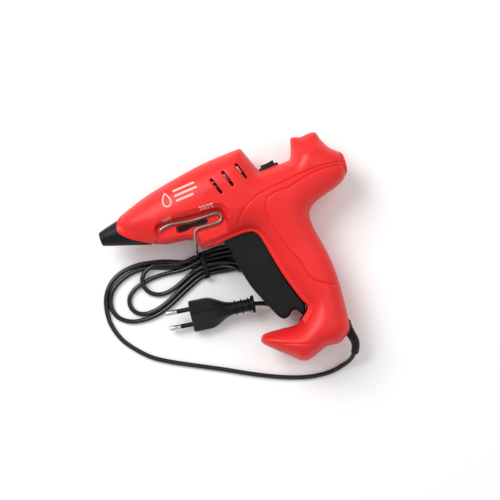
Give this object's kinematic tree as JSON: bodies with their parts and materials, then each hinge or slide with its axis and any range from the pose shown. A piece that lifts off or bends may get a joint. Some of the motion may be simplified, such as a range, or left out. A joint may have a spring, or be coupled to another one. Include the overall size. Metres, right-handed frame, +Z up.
{
  "type": "glue gun",
  "caption": "Trigger-fed hot glue gun lying on its side, with a folding wire stand, a temperature slide and a corded two-pin plug.",
  "frame": {"origin": "on the surface that the gun lies on, under the middle of the gun's own box, which leaves out the cord", "axes": "+X runs along the barrel from the nozzle to the rear, +Y towards the gun's top, +Z up from the surface, out of the gun's left side"},
  "size_m": [0.2117, 0.1883, 0.052],
  "materials": {
    "housing": "red moulded plastic, satin",
    "grip": "red soft-touch, finely textured",
    "black_rubber": "black, matte",
    "black_plastic": "black, fine texture",
    "brass": "turned",
    "cast_aluminium": "as cast",
    "heater": "dark ceramic",
    "steel": "zinc plated",
    "dark_steel": "blackened",
    "stand_wire": "nickel plated wire",
    "silicone": "translucent grey",
    "natural_plastic": "natural nylon",
    "circuit_board": "board and switch",
    "wire_insulation": "silicone insulated",
    "cord_sheath": "black sheath, satin",
    "tie": "plastic-covered wire",
    "plated_brass": "nickel plated"
  },
  "bodies": {
    "housing": {"left_shell": "housing", "right_shell": "housing", "left_grip": "grip", "right_grip": "grip", "nozzle_boot": "black_rubber", "nozzle": "brass", "melt_chamber": "cast_aluminium", "heaters": "heater", "heater_clamp": "steel", "inlet_sleeve": "silicone", "sleeve_clip": "steel", "rear_guide": "black_plastic", "return_spring": "steel", "trigger_pin": "steel", "power_switch": "black_plastic", "temp_switch": "circuit_board", "wiring": "wire_insulation", "cable_clamp": "natural_plastic", "clamp_screws": "steel", "housing_screws": "dark_steel", "cord_boot": "black_rubber", "cord_lead": "cord_sheath", "cord_bundle": "cord_sheath", "cord_tail": "cord_sheath", "cord_tie": "tie", "plug_body": "black_rubber", "plug_sleeves": "black_plastic", "plug_pins": "plated_brass"},
    "trigger": {"trigger": "black_plastic"},
    "carriage": {"carriage": "natural_plastic"},
    "gripper_jaw": {"gripper_jaw": "steel"},
    "power_rocker": {"power_rocker": "black_plastic"},
    "temp_knob": {"temp_knob": "black_plastic"},
    "stand": {"stand": "stand_wire"}
  },
  "joints": [
    {"name": "trigger_pull", "type": "hinge", "parent": "housing", "child": "trigger", "pos_m": [0.0175, 0.0309, 0.026], "axis": [0, 0, 1], "range_deg": [0, 20], "stiffness_Nm_per_rad": 0.2},
    {"name": "stick_feed", "type": "slide", "parent": "housing", "child": "carriage", "axis": [-1, 0, 0], "range_m": [0, 0.00635], "deforming": ["return_spring"]},
    {"name": "jaw_rock", "type": "hinge", "parent": "carriage", "child": "gripper_jaw", "pos_m": [0.0195, 0.0639, 0.026], "axis": [0, 0, 1], "range_deg": [-5, 5], "stiffness_Nm_per_rad": 0.01},
    {"name": "power_rock", "type": "hinge", "parent": "housing", "child": "power_rocker", "pos_m": [0.0411, 0.0643, 0.026], "axis": [0, 0, 1], "range_deg": [-10, 0]},
    {"name": "temperature_slide", "type": "slide", "parent": "housing", "child": "temp_knob", "axis": [1, 0, 0], "range_m": [0, 0.015]},
    {"name": "stand_swing", "type": "hinge", "parent": "housing", "child": "stand", "pos_m": [-0.0525, 0.0429, 0.026], "axis": [0, 0, 1], "range_deg": [-95, 0]}
  ],
  "couplings": [
    {"joint": "stick_feed", "follows": "trigger_pull", "m_per_rad": 0.018186}
  ]
}
